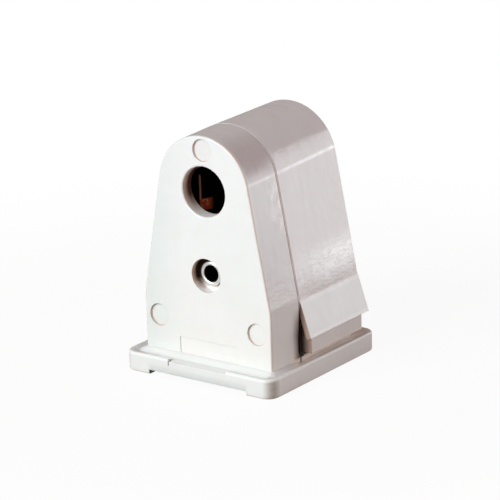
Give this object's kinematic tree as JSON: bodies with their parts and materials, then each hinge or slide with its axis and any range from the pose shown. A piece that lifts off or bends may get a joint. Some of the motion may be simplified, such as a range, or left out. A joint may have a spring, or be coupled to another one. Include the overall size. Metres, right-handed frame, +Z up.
{
  "type": "single pin fluorescent lamp holder",
  "caption": "White tombstone lamp holder with a round pin hole, a riveted two-part housing, snap wings and a flanged base for push-in wiring.",
  "frame": {"origin": "middle of the base flange, on the plane of its feet", "axes": "+Z up from the feet to the crown, -Y out of the front wall towards the lamp, +X to the right seen from the front"},
  "size_m": [0.036, 0.0362, 0.0499],
  "materials": {
    "white_moulding": "lightly glossy moulded plastic, near white",
    "bright_plating": "bright plated steel with fine draw lines",
    "copper_strip": "rolled copper alloy strip, red brown",
    "spring_steel": "rolled spring steel"
  },
  "bodies": {
    "root": {"front_housing": "white_moulding", "rear_housing": "white_moulding", "tubular_rivet": "bright_plating", "lamp_contact": "copper_strip", "wire_spring_1": "spring_steel", "wire_spring_2": "spring_steel"}
  },
  "joints": []
}
